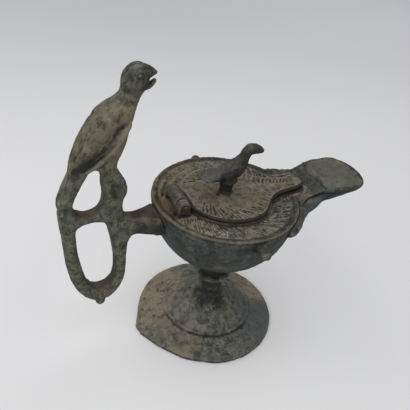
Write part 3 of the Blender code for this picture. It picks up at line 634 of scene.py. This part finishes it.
def relief_sheet(name, low, high, pitch, inside, level, carve):
    """A closed thin sheet over the flat points for which inside is above 0."""
    xs = np.arange(low[0], high[0] + pitch, pitch)
    ys = np.arange(low[1], high[1] + pitch, pitch)
    gx, gy = np.meshgrid(xs, ys, indexing="ij")
    flat = np.stack([gx.ravel(), gy.ravel()], axis=1)
    room = inside(flat)
    keep = (room > 0).reshape(gx.shape)
    quads = keep[:-1, :-1] & keep[1:, :-1] & keep[1:, 1:] & keep[:-1, 1:]
    number = np.arange(gx.size).reshape(gx.shape)
    i, j = np.nonzero(quads)
    faces = [number[i, j], number[i + 1, j], number[i + 1, j + 1], number[i, j + 1]]
    used, faces = np.unique(np.stack(faces, axis=1), return_inverse=True)
    faces = faces.reshape(-1, 4)
    flat, room = flat[used], room[used]
    depth = carve(flat)
    sink = mm_step(0.0, 0.8, room)
    wander = 0.035 * MM * lumps(np.c_[flat, np.zeros(len(flat))], 2.4 * MM)
    border = SHEET_LIFT * MM * sink - SHEET_DIP * MM * (1 - sink)
    z = level + border - depth * STROKE_DEPTH * MM * sink + wander
    top_points = np.c_[flat, z]
    base_points = np.c_[flat, np.full(len(flat), level - SHEET_BACK * MM)]
    count = len(flat)
    sides = {}
    for face in faces:
        for a, b in zip(face, np.roll(face, -1)):
            if (b, a) in sides:
                del sides[(b, a)]
            else:
                sides[(a, b)] = True
    walls = [[b, a, a + count, b + count] for a, b in sides]
    mesh = bpy.data.meshes.new(name)
    mesh.from_pydata(np.r_[top_points, base_points].tolist(), [],
                     faces.tolist() + (faces[:, ::-1] + count).tolist() + walls)
    piece = bpy.data.objects.new(name, mesh)
    bpy.context.scene.collection.objects.link(piece)
    print(name, "has", len(mesh.polygons), "faces")
    return piece, np.r_[depth, depth]


# %% [markdown]
# ## Marks on the plate
# On the real lamp a band of worn marks runs round the flat top between two lines, and on along the
# neck. Here it is two rows of short strokes that all lean the same way, and a few on the neck. They
# could be laid evenly, but a hand is not even, so each stroke's ends and place wander a little.

# %% Lay the strokes
rng = np.random.default_rng(5)
marks = []
for ring in (26.6, 38.1):
    marks += chain(arc(0, 0, ring * MM, 14, 346, 150))


def polar(r, degrees):
    return (r * MM * math.cos(math.radians(degrees)), r * MM * math.sin(math.radians(degrees)))


for row, (inner, outer, lean) in enumerate(((27.8, 32.0, 6.5), (32.7, 37.2, 5.5))):
    place = 15.0 + row
    while place < 345.0:
        start, stop = inner + rng.uniform(-0.2, 0.7), outer + rng.uniform(-0.7, 0.2)
        marks.append((polar(start, place), polar(stop, place + lean + rng.uniform(-0.8, 0.8))))
        place += rng.uniform(2.5, 3.7)
for side in (1, -1):
    for k in range(7):
        across = (42.5 + 1.7 * k) * MM
        marks.append(((across, side * 5.4 * MM), (across + 2.4 * MM, side * 8.6 * MM)))
    marks += chain([(k * MM, side * (10.6 + 0.02 * (k - 44) ** 2) * MM) for k in range(38, 54, 2)])
scratches = [((ax * MM, ay * MM), (bx * MM, by * MM)) for (ax, ay), (bx, by) in (
    ((-23.6, -25.6), (-22.9, -31.0)), ((-22.9, -31.0), (-17.6, -32.6)),
    ((-18.4, -28.6), (-14.9, -32.2)), ((-14.9, -32.2), (-13.6, -28.4)),
    ((-24.9, -27.0), (-21.0, -29.6)))]
print(len(marks), "strokes and", len(scratches), "scratches")

# %% Make the plate's sheet
PLATE_PITCH = 0.27 * MM
PLATE_STROKE, SCRATCH = 0.60 * MM, 0.42 * MM

plate, plate_depth = relief_sheet(
    "plate_engraving", (-39 * MM, -39 * MM), (54 * MM, 39 * MM), PLATE_PITCH, plate_room, PLATE,
    lambda flat: cut(flat, marks, PLATE_STROKE))
spots, _ = points_of(plate)
x, y, z = spots.T
left = mm_step(15, -38, x)
near_hinge = np.linalg.norm(spots - HINGE, axis=1)
scratch = cut(spots[:, :2], scratches, SCRATCH)
# Painted shadow: a band of the plate just outside the lid's front edge is darkened.
lid_shadow = mm_step(-3.0, -1.7, lid_room(spots[:, :2])) * mm_step(4, -6, y)
by_hinge = np.exp(-((x + 35.9 * MM) / (0.9 * MM)) ** 2) * (np.abs(y - 2 * MM) < 10 * MM)
worn_and_shaded = 0.16 + 0.55 * lumps(spots, 1.3 * MM) - 0.22 * mm_step(12, 30, x)
worn_and_shaded = worn_and_shaded - plate_depth * 0.70 - lid_shadow - by_hinge
finish_piece(plate, "lamp", None, PATINAS["plate"], {
    "worn_and_shaded": np.clip(worn_and_shaded, -1, 1) * (1 - scratch),
    "earth": np.clip(0.10 + 0.60 * left + 0.30 * lumps(spots, 8 * MM), 0, 1),
    "rust": np.clip(mm_step(17, 8, near_hinge) * step(-0.4, 0.3, lumps(spots, 4 * MM))
                    + patch_at(spots, -37.5, -4.0, 93.2, 8.0), 0, 1),
    "chalk": scratch * 0.75,
})

# %% [markdown]
# ## The lid
# A flat plate shaped like a drop, with a fringe of slanting strokes round its edge. It turns on the
# pin, so it rides on its own body, and so does the small bird on it. The knuckle could be modelled
# as a rolled strip. It is cut from the same solid instead, and only swells a little in its middle,
# because more would rub on the plate when the lid is open.

# %% Shape the lid
LID_TOP = 96.2 * MM
LID_CELL = 0.42 * MM
BEVEL, SWELL = 0.55, 0.2  # mm

lid = dense_copy("lid", "lid_casting", LID_CELL)
weather(lid, coarse=0.07, fine=0.05, pits=0.05)
spots, out = points_of(lid)
spots = lower_under(spots, out, lid_room(spots[:, :2]), LID_TOP)
bevel = mm_step(0.0, -0.8, lid_room(spots[:, :2])) * (out[:, 2] > 0.2) * (spots[:, 0] > -20 * MM)
spots[:, 2] -= bevel * mm_step(95.2, 96.0, spots[:, 2]) * BEVEL * MM
from_pin = np.hypot(spots[:, 0] - HINGE[0], spots[:, 2] - HINGE[2])
swell = mm_step(5.6, 4.2, from_pin)
swell = swell * mm_step(9, 4, np.abs(spots[:, 1])) * (0.8 + 0.5 * lumps(spots, 4 * MM))
move_points(lid, spots + out * (swell * SWELL * MM)[:, None])
print("lid bevelled on", int((bevel > 0.5).sum()), "points")

# %% Patinate the lid
spots, out = points_of(lid)
x, y, z = spots.T
near_hinge = np.linalg.norm(spots - HINGE, axis=1)
barrel = mm_step(6.4, 4.2, np.hypot(x - HINGE[0], z - HINGE[2]))
# Painted shade: on the front half, the lid's sides and its outer band are darkened nearly to black,
# as the shade under its raised edge.
margin = mm_step(0.6, 0.1, lid_room(spots[:, :2]))
edge = np.maximum(step(0.85, 0.45, out[:, 2]), margin) * (1 - barrel) * mm_step(10, -4, y)
finish_piece(lid, "lid", "lid", PATINAS["lid"], {
    "worn_and_shaded": np.clip(read_form(lid, 5, 4.0) * (1 - edge) - edge * 1.2 - barrel * 0.42, -1, 1),
    "earth": np.clip(0.5 * step(0.5, 0.9, out[:, 2]) * (1 - barrel), 0, 1),
    "rust": mm_step(12, 4, near_hinge) * step(-0.1, 0.5, lumps(spots, 4 * MM)) * 0.6,
    "slate": 0.6 * barrel,
})

# %% [markdown]
# ## The lid's fringe
# Short strokes slant inward from the edge, and go on along both sides of the point. Random strokes
# would look like wear. These follow a slow wave in length and slant, as a hand does that turns the
# work while it cuts.

# %% Lay the fringe
LID_PITCH = 0.25 * MM
LID_STROKE = 0.66 * MM
FRINGE_STEP = 5.4  # degrees

fringe = []
for k in range(-27, 28):
    if abs(k * FRINGE_STEP) < 50:
        continue
    a = math.radians(k * FRINGE_STEP)
    start = 25.4 + 0.4 * math.sin(k * 2.7)
    stop = 18.0 + 1.0 * math.sin(k * 1.9 + 1)
    bend = math.radians(13.0 + 2.0 * math.sin(k * 0.8))
    fringe.append(((start * MM * math.cos(a), start * MM * math.sin(a)),
                   (stop * MM * math.cos(a - bend), stop * MM * math.sin(a - bend))))
for side in (1, -1):
    for k in range(15):
        along = 15.5 + 2.2 * k
        outer = float(np.interp(along * MM, HALF_WIDTHS[:, 0], HALF_WIDTHS[:, 1])) - 1.3 * MM
        inward = max(outer - 5.2 * MM, 0.6 * MM)
        fringe.append(((along * MM, side * outer), ((along - 3.4) * MM, side * inward)))
print(len(fringe), "strokes in the fringe")

# %% Make the lid's sheet
lid_top, lid_depth = relief_sheet(
    "lid_engraving", (-26 * MM, -27.5 * MM), (52 * MM, 27.5 * MM), LID_PITCH, lid_room, LID_TOP,
    lambda flat: cut(flat, fringe, LID_STROKE))
spots, _ = points_of(lid_top)
shank = patch_at(spots, -6.8, -1.7, 96.3, 1.5)
worn_and_shaded = 0.14 + 0.55 * lumps(spots, 1.2 * MM) - lid_depth * 0.78 - shank
finish_piece(lid_top, "lid", None, PATINAS["lid"], {
    "worn_and_shaded": np.clip(worn_and_shaded, -1, 1),
    "earth": np.clip(0.36 + 0.35 * lumps(spots, 7 * MM), 0, 1),
    "rust": 0.5 * patch_at(spots, -10.0, 2.0, 96.3, 9.0),
    "chalk": 0.30 * patch_at(spots, 1.0, -21.5, 96.3, 5.5) * (1 - lid_depth),
})

# %% [markdown]
# ## The small bird
# It is darker and smoother than the rest, with a flat spreading tail that turned bluish. A bird
# could be built from rounded blobs, but the solid already has its stance. It is only plumped where
# the solid is thin, and a few grooves along the tail stand for feathers.

# %% Dress the small bird
SMALL_CELL = 0.34 * MM
HEAD_PLUMP, BODY_PLUMP, VANE_DEPTH = 0.85, 0.90, 0.22  # mm
TAIL_SPREAD = 0.45

small = dense_copy("lid_bird", "small_bird_casting", SMALL_CELL, 2)
spots, out = points_of(small)
head = mm_step(110.5, 116, spots[:, 2])
plump = mm_step(102, 105, spots[:, 2]) * (1 - head) * mm_step(-7, -3, spots[:, 0])
spots = spots + out * ((head * HEAD_PLUMP + plump * BODY_PLUMP) * MM)[:, None]
spread = TAIL_SPREAD * mm_step(-5.5, -10, spots[:, 0]) * mm_step(-19, -15, spots[:, 0])
spots[:, 1] *= 1 + spread
move_points(small, spots)
spots, out = points_of(small)
tail = mm_step(-7, -10, spots[:, 0]) * step(0.3, 0.8, out[:, 2])
vane = np.cos(spots[:, 1] / (0.62 * MM)) ** 2
move_points(small, spots - out * (tail * vane * VANE_DEPTH * MM)[:, None])
weather(small, coarse=0.07, fine=0.06, pits=0.10)
spots, out = points_of(small)
finish_piece(small, "lid", "lid_bird", PATINAS["small_bird"], {
    "worn_and_shaded": read_form(small, 6, 4.0),
    "earth": 0.18 * step(0.4, 0.9, out[:, 2]),
    "slate": mm_step(-4, -9, spots[:, 0]),
})

# %% [markdown]
# ## Handle and bird
# The stirrup is a flat frame whose edges were rounded by use. The bird over it has folded wings
# with a clear lower edge, a hollow above it painted dark as shade, a small eye and a short open
# beak.
# Such forms could be sculpted with brushes. Here each is a line or a spot in the side view, and the
# points near it are raised or sunk on both sides at once, so that the back is finished too.

# %% Soften the handle
HANDLE_CELL = 0.50 * MM
ROUNDED, JAW_UP, JAW_OUT = 0.30, 1.8, 0.45  # mm

handle = dense_copy("bird_handle", "handle_casting", HANDLE_CELL)
spots, out = points_of(handle)
calm_share = mm_step(160, 155, spots[:, 2]) * mm_step(-44, -50, spots[:, 0])
spots = smoothed(handle, spots, 16, calm_share)
spots += out * (ROUNDED * MM * calm_share * mm_step(125, 118, spots[:, 2]))[:, None]
jaw = mm_step(-51.0, -48.0, spots[:, 0]) * mm_step(168.5, 166.5, spots[:, 2])
jaw = jaw * mm_step(158, 161, spots[:, 2])
spots[:, 2] += jaw * JAW_UP * MM
spots = spots + out * (jaw * JAW_OUT * MM)[:, None]
move_points(handle, spots)
print("jaw raised on", int((jaw > 0.5).sum()), "points")

# %% Wing and feathers
spots, out = points_of(handle)
side = spots[:, [0, 2]]
far_out = np.abs(out[:, 1])
sideways = step(0.25, 0.65, far_out) * mm_step(112, 118, spots[:, 2])
wing_edge = np.array([
    (-58.6, 151.0), (-62.9, 146.1), (-68.8, 133.4), (-74.6, 126.7), (-80.5, 122.6)]) * MM
along_x = np.interp(side[:, 1], wing_edge[::-1, 1], wing_edge[::-1, 0])
off = (side[:, 0] - along_x) / 1.35
on_edge = mm_step(121, 124, side[:, 1]) * mm_step(152, 147, side[:, 1]) * sideways
fold = np.exp(-(off / (1.2 * MM)) ** 2) * on_edge
drop = mm_step(142, 124, side[:, 1])
hollow = (off + (3.4 + 2.4 * drop) * MM) / ((2.2 + 1.2 * drop) * MM)
hollow = np.exp(-hollow ** 2) * on_edge
streak = np.abs(((off / MM) / 1.7 + 0.25 * lumps(spots, 6 * MM)) % 1.0 - 0.5) * 2
feathers = step(0.62, 0.98, streak) * mm_step(-0.5, -3.0, off) * sideways
feathers = feathers * mm_step(121, 126, side[:, 1]) * mm_step(152, 140, side[:, 1])
print("wing edge on", int((fold > 0.5).sum()), "points")

# %% Eye, collar and crack
EYE_SPOT = np.array([-57.3, 169.7]) * MM
COLLAR_SPOT = np.array([-61.7, 158.3]) * MM
NECK_WAY = np.array([0.50, 0.866])

to_eye = np.linalg.norm(side - EYE_SPOT, axis=1)
at_head = step(0.25, 0.6, far_out)
ring = np.exp(-((to_eye - 1.3 * MM) / (0.45 * MM)) ** 2) * at_head
ball = np.exp(-(to_eye / (0.80 * MM)) ** 2) * at_head
collar = np.exp(-(((side - COLLAR_SPOT) @ NECK_WAY) / (0.5 * MM)) ** 2)
collar = collar * mm_step(-80, -74, side[:, 0]) * mm_step(150, 153, side[:, 1])
crack = (spots[:, 0] + 67.0 * MM + 0.15 * (spots[:, 2] - 0.11)) / (1.9 * MM)
crack = np.exp(-crack ** 2) * step(0.3, 0.7, -out[:, 1])
crack = crack * mm_step(104, 107, side[:, 1]) * mm_step(117, 114, side[:, 1])
push = fold * 1.0 - hollow * 0.75 - feathers * 0.05
push = push + ball * 0.12 - ring * 0.08 - collar * 0.15 - crack * 0.6
move_points(handle, spots + out * (push * MM)[:, None])
weather(handle, coarse=0.20, fine=0.08)
print("deepest push", round(float(push.min()), 2), "mm, highest", round(float(push.max()), 2), "mm")

# %% Patinate the handle
spots, out = points_of(handle)
x, y, z = spots.T
body = mm_step(116, 128, z) * mm_step(158, 154, z)
warm = step(0.05, 0.65, lumps(spots, 10 * MM))
inner = step(0.3, 0.8, out[:, 2]) * mm_step(118, 110, z)
seam = patch_at(spots, -43.2, -1.5, 92.0, 5.0)
low = mm_step(120, 116, z)
form = read_form(handle, 6, 3.0) * (1 - 0.7 * low)
# Painted shade: the ring's faces that turn away from the front and back are darkened.
flank = low * step(0.75, 0.35, np.abs(out[:, 1]))
head_dark = mm_step(160, 163, z) * (1 - 0.6 * ball)
# Painted shade: the ring's bar next to the bowl is darkened, half as much on its upward faces.
arm = mm_step(-57, -54, x) * low
to_tail = np.linalg.norm(side - np.array([-80.0, 128.0]) * MM, axis=1)
# Painted shade: the hollow above the wing's edge is darkened and takes less earth below; the band
# also darkens near the tail end.
band = hollow * 0.46 + 0.36 * mm_step(13, 6, to_tail)
worn_and_shaded = form + 0.30 * lumps(spots, 5 * MM) + 1.0 * fold - ring * 0.14 - feathers * 0.06 - band
# Painted shade: the groove between the bird's post and its near foot is darkened on the front side.
worn_and_shaded = worn_and_shaded - crack * 0.30 - collar * 0.20 - 0.24 * flank - 0.46 * head_dark - 0.12 * low
worn_and_shaded = worn_and_shaded - 0.48 * arm * (1 - 0.5 * inner)
earth = body * (0.70 - 0.6 * hollow + 0.5 * fold) + 0.50 * warm * (0.35 + 0.65 * body)
finish_piece(handle, "lamp", "bird_handle", PATINAS["handle"], {
    "worn_and_shaded": np.clip(worn_and_shaded, -1, 1),
    "earth": np.clip(earth + 0.20 * inner, 0, 1),
    "rust": np.clip(inner * (0.9 - 0.35 * arm) + seam * 0.4, 0, 1),
    "chalk": 0.7 * patch_at(spots, -94.0, -2.5, 107.0, 2.2) + 0.24 * fold,
    "slate": 0.45 * step(0.1, -0.6, out[:, 2]) + 0.15 * mm_step(160, 165, z),
})

# %% [markdown]
# ## Foot
# The foot was turned, and has a shallow groove round its slope. Its side toward the handle is worn
# nearly straight and carries tan earth, and the rest is dark with bluish areas. The groove could be
# cut in the profile, but on the real foot it fades away at the back, so it is pressed in here.

# %% Shape the foot
FOOT_CELL = 0.56 * MM
TURNED_GROOVE = 28.7 * MM
FOOT_GROOVE, WORN_SIDE, CORNER_CUT = 0.42, 2.6, 0.9  # mm

foot = dense_copy("pedestal_foot", "foot_casting", FOOT_CELL)
spots, out = points_of(foot)
radius = np.hypot(spots[:, 0], spots[:, 1])
up = step(0.15, 0.6, out[:, 2])
around = np.degrees(np.arctan2(spots[:, 1], spots[:, 0])) % 360
clear_part = 0.25 + 0.75 * step(165, 205, around) * step(325, 285, around)
groove = np.exp(-((radius - TURNED_GROOVE) / (1.2 * MM)) ** 2) * up * clear_part
groove = groove * (0.70 + 0.45 * lumps(spots, 5 * MM))
move_points(foot, spots - out * (groove * FOOT_GROOVE * MM)[:, None])
spots, out = points_of(foot)
bulge = WORN_SIDE * step(184, 205, around) * step(242, 225, around)
bulge -= CORNER_CUT * np.exp(-((around - 244) / 7) ** 2)
bulge = bulge * mm_step(30, 40, radius)
spots[:, :2] *= (1 + bulge * MM / np.maximum(radius, MM))[:, None]
move_points(foot, spots)
weather(foot, coarse=0.22, fine=0.09, pits=0.20)
spots, out = points_of(foot)
spots[:, 2] = np.maximum(spots[:, 2], 0.0)
move_points(foot, spots)
print("worn side pulled out by up to", round(float(bulge.max()), 2), "mm")

# %% Patinate the foot
x, y, z = spots.T
toward = mm_step(-5, -25, x - y * 0.28)
far_side = mm_step(22, 31, x) * mm_step(-12, 0, y)
# Painted shadow: the bowl's shadow on the front of the stem's base.
bowl_shadow = mm_step(19, 9, radius) * mm_step(5, -5, y) * mm_step(12, 2, x)
# Painted shade: the outer side of the foot's rim is darkened all round.
edge = mm_step(38.0, 39.5, radius) * (1 - up)
cool = mm_step(8, 20, x) * mm_step(8, -4, y)
worn_and_shaded = read_form(foot, 5, 3.6) + 0.25 * lumps(spots, 4.5 * MM)
# Painted shade: the groove, the bowl's shadow on the stem and the side of the rim are darkened
# here.
worn_and_shaded = worn_and_shaded - groove * 0.55 - bowl_shadow * 0.75 - edge * 0.8
earth = up * (0.06 + 1.0 * toward + 0.9 * far_side) * mm_step(6, 17, radius)
finish_piece(foot, "lamp", "pedestal_foot", PATINAS["foot"], {
    "worn_and_shaded": np.clip(worn_and_shaded, -1, 1),
    "earth": np.clip(earth, 0, 1),
    "slate": np.clip(0.9 * cool + 0.3 * step(0.1, 0.7, lumps(spots, 12 * MM)) * (1 - toward), 0, 1),
})

# %% [markdown]
# ## Pin
# The iron pin is hidden but for its ends. A dense copy would add nothing that shows, so it keeps
# its CAD mesh and only gets a rusty skin.

# %% Dress the pin
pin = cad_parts["hinge_pin"]
for place in pin.material_slots:
    place.material = PATINAS["pin"]
print("pin wears", PATINAS["pin"].name)

# %% [markdown]
# ## Floor
# The photograph was taken on a pale seamless sheet. A curved backdrop would show its bend from some
# sides, so the floor is one wide flat sheet. Its paper carries painted light: a little brighter
# round the lamp, which weakens the lamp's shadow, and darker far behind it as the photograph is,
# less so to the far right.

# %% Floor
REACH = 14.0
BELOW = -0.05 * MM

floor_mesh = bpy.data.meshes.new("floor")
floor_mesh.from_pydata(
    [(-REACH, -REACH, 0), (REACH, -REACH, 0), (REACH, REACH, 0), (-REACH, REACH, 0)],
    [], [(0, 1, 2, 3)])
floor = bpy.data.objects.new("floor", floor_mesh)
floor.location.z = BELOW
bpy.context.scene.collection.objects.link(floor)
paper = bpy.data.materials.new("pale_paper")
paper.use_nodes = True
tree = paper.node_tree
shader = tree.nodes["Principled BSDF"]
where = Wire(tree, tree.nodes.new("ShaderNodeTexCoord").outputs["Object"])
mottle = where.node("ShaderNodeTexNoise", Vector=where, Scale=6.0, Detail=2.0)
across = where.node("ShaderNodeSeparateXYZ", Vector=where)
along = where.node("ShaderNodeSeparateXYZ", out=1, Vector=where)
# Painted light: the paper is brighter round the lamp and darker far behind it, less so to the far
# right.
far = along.between(0.15, 0.60)
painted_light_round_lamp = ((across * across + along * along) ** 0.5).between(0.125, 0.050)
tone = mottle.tint((0.705, 0.70, 0.695), (0.725, 0.722, 0.725))
tone = painted_light_round_lamp.tint(tone, (0.810, 0.805, 0.800))
tone = far.tint(tone, (0.600, 0.602, 0.612))
tone = (far * across.between(0.10, 0.85)).tint(tone, (0.77, 0.77, 0.78))
tree.links.new(tone.socket, shader.inputs["Base Color"])
shader.inputs["Roughness"].default_value = 0.9
shader.inputs["Specular IOR Level"].default_value = 0.1
floor_mesh.materials.append(paper)
floor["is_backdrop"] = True
print("floor is", 2 * REACH, "m wide")

# %% [markdown]
# ## Light
# One big area light above gives soft shading with weak shadows, a second one fills the near side,
# and a pale world fills the rest. A bright world alone would also be soft, but it would leave the
# lamp without any form.

# %% Lights
WORLD_COLOUR = (0.93, 0.95, 1.0, 1)
WORLD_STRENGTH = 0.42


def softbox(name, size, spot, aim, power, colour=(1, 1, 1)):
    """A square area light."""
    light = bpy.data.lights.new(name, "AREA")
    light.size = size
    light.energy = power
    light.color = colour
    lamp = bpy.data.objects.new(name, light)
    lamp.location = spot
    lamp.rotation_euler = (Vector(aim) - Vector(spot)).to_track_quat("-Z", "Y").to_euler()
    bpy.context.scene.collection.objects.link(lamp)


softbox("overhead", size=1.6, spot=(-0.20, 0.05, 1.0), aim=(0, 0, 0), power=9.9)
softbox("side_fill", size=0.9, spot=(-0.7, -0.9, 0.8), aim=(0, 0, 0.06), power=4.0,
        colour=(1.0, 0.99, 0.97))
world = bpy.data.worlds.new("studio")
world.use_nodes = True
sky = world.node_tree.nodes["Background"]
sky.inputs["Color"].default_value = WORLD_COLOUR
sky.inputs["Strength"].default_value = WORLD_STRENGTH
bpy.context.scene.world = world
bpy.context.scene.view_settings.view_transform = "Standard"
print(len(bpy.data.lights), "area lights and a world of strength", WORLD_STRENGTH)

# %% [markdown]
# ## Sizes
# The box of the dressed lamp is printed at the end, in millimetres, to set beside the size of the
# CAD part.

# %% Sizes and the end
print("visual box in mm:", [[round(v / MM, 1) for v in c] for c in corners()])
